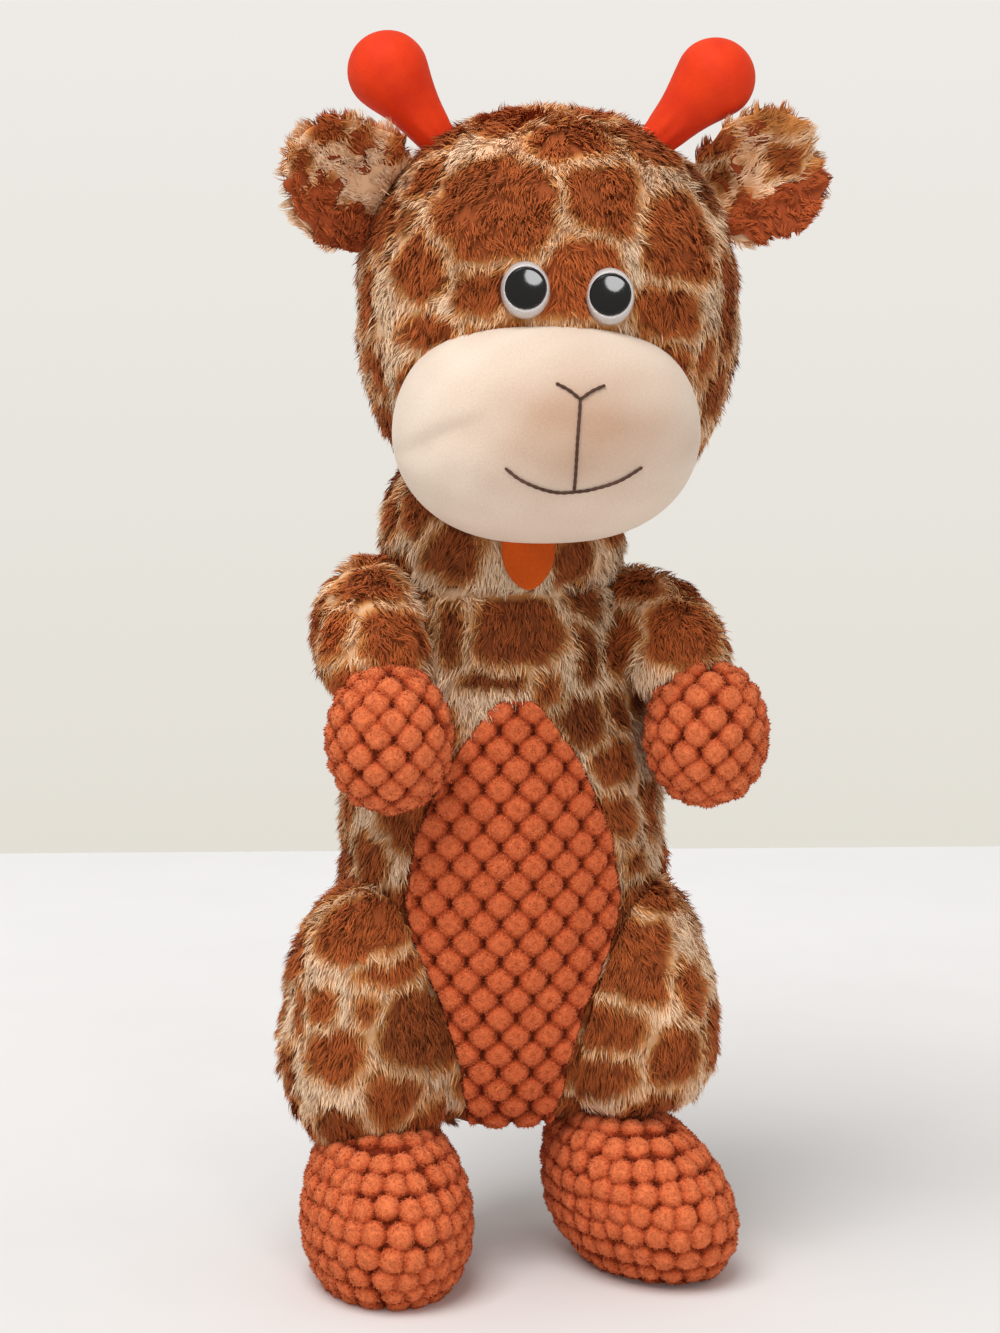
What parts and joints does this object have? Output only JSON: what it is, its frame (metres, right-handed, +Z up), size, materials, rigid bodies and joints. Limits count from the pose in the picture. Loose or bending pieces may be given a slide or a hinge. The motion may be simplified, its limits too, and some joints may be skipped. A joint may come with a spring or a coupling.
{
  "type": "plush giraffe",
  "caption": "Stuffed plush giraffe that stands on its feet, with a turning, nodding head, folding ears, bending horns, lifting arms and swinging legs.",
  "frame": {"origin": "middle of the toy's box, on the floor it stands on", "axes": "+Z up, the toy faces -Y, its own left side is +X"},
  "size_m": [0.168, 0.127, 0.3814],
  "materials": {
    "giraffe_plush": "long pile plush, brown patches on cream lines",
    "bubble_plush": "short pile plush embossed in bubbles",
    "velour": "short brushed velour",
    "velvet": "smooth velvet",
    "ear_lining": "medium pile plush",
    "felt": "plain felt",
    "thread": "embroidery thread",
    "stuffing": "loose polyester fibre",
    "eye_white": "polished moulded plastic",
    "eye_black": "polished moulded plastic",
    "washer_plastic": "moulded plastic",
    "squeaker_plastic": "soft blow-moulded plastic"
  },
  "bodies": {
    "torso": {"torso_cover": "giraffe_plush", "belly_panel": "bubble_plush", "squeaker": "squeaker_plastic", "torso_filling_front": "stuffing", "torso_filling_back": "stuffing"},
    "neck": {"neck_cover": "giraffe_plush", "neck_filling": "stuffing"},
    "head": {"head_cover": "giraffe_plush", "head_filling": "stuffing", "right_eye": "eye_white", "right_pupil": "eye_black", "right_eye_washer": "washer_plastic", "left_eye": "eye_white", "left_pupil": "eye_black", "left_eye_washer": "washer_plastic", "muzzle_cover": "velour", "muzzle_filling": "stuffing", "nose_and_mouth_stitches": "thread", "neck_tag": "felt"},
    "right_ear": {"right_ear_back": "giraffe_plush", "right_ear_lining": "ear_lining"},
    "left_ear": {"left_ear_back": "giraffe_plush", "left_ear_lining": "ear_lining"},
    "right_horn": {"right_horn": "velvet"},
    "left_horn": {"left_horn": "velvet"},
    "right_arm": {"right_sleeve": "giraffe_plush", "right_paw": "bubble_plush", "right_arm_filling": "stuffing"},
    "left_arm": {"left_sleeve": "giraffe_plush", "left_paw": "bubble_plush", "left_arm_filling": "stuffing"},
    "right_leg": {"right_thigh": "giraffe_plush", "right_foot": "bubble_plush", "right_leg_filling": "stuffing"},
    "left_leg": {"left_thigh": "giraffe_plush", "left_foot": "bubble_plush", "left_leg_filling": "stuffing"}
  },
  "joints": [
    {"name": "neck_turn", "type": "hinge", "parent": "torso", "child": "neck", "pos_m": [-0.01474, 0.01396, 0.228], "axis": [0, 0, 1], "range_deg": [-20, 20]},
    {"name": "head_nod", "type": "hinge", "parent": "neck", "child": "head", "pos_m": [-0.01474, 0.01396, 0.228], "axis": [1, 0, 0], "range_deg": [-15, 6]},
    {"name": "right_ear_fold", "type": "hinge", "parent": "head", "child": "right_ear", "pos_m": [-0.04997, 0.01696, 0.32986], "axis": [0.4756, 0, 0.8797], "range_deg": [-18, 25]},
    {"name": "left_ear_fold", "type": "hinge", "parent": "head", "child": "left_ear", "pos_m": [0.0485, 0.01696, 0.32986], "axis": [0.4756, 0, -0.8797], "range_deg": [-18, 25]},
    {"name": "right_horn_bend", "type": "hinge", "parent": "head", "child": "right_horn", "pos_m": [-0.03379, 0.01396, 0.34815], "axis": [0, 1, 0], "range_deg": [-2, 15]},
    {"name": "left_horn_bend", "type": "hinge", "parent": "head", "child": "left_horn", "pos_m": [0.03232, 0.01396, 0.34815], "axis": [0, -1, 0], "range_deg": [-2, 15]},
    {"name": "right_arm_lift", "type": "hinge", "parent": "torso", "child": "right_arm", "pos_m": [-0.03474, -0.00404, 0.228], "axis": [0, 1, 0], "range_deg": [0, 40]},
    {"name": "left_arm_lift", "type": "hinge", "parent": "torso", "child": "left_arm", "pos_m": [0.00526, -0.00104, 0.228], "axis": [0, -1, 0], "range_deg": [0, 28]},
    {"name": "right_leg_swing", "type": "hinge", "parent": "torso", "child": "right_leg", "pos_m": [-0.05774, -0.00404, 0.124], "axis": [-1, 0, 0], "range_deg": [0, 45]},
    {"name": "left_leg_swing", "type": "hinge", "parent": "torso", "child": "left_leg", "pos_m": [0.02526, -0.00004, 0.124], "axis": [-1, 0, 0], "range_deg": [0, 45]}
  ]
}
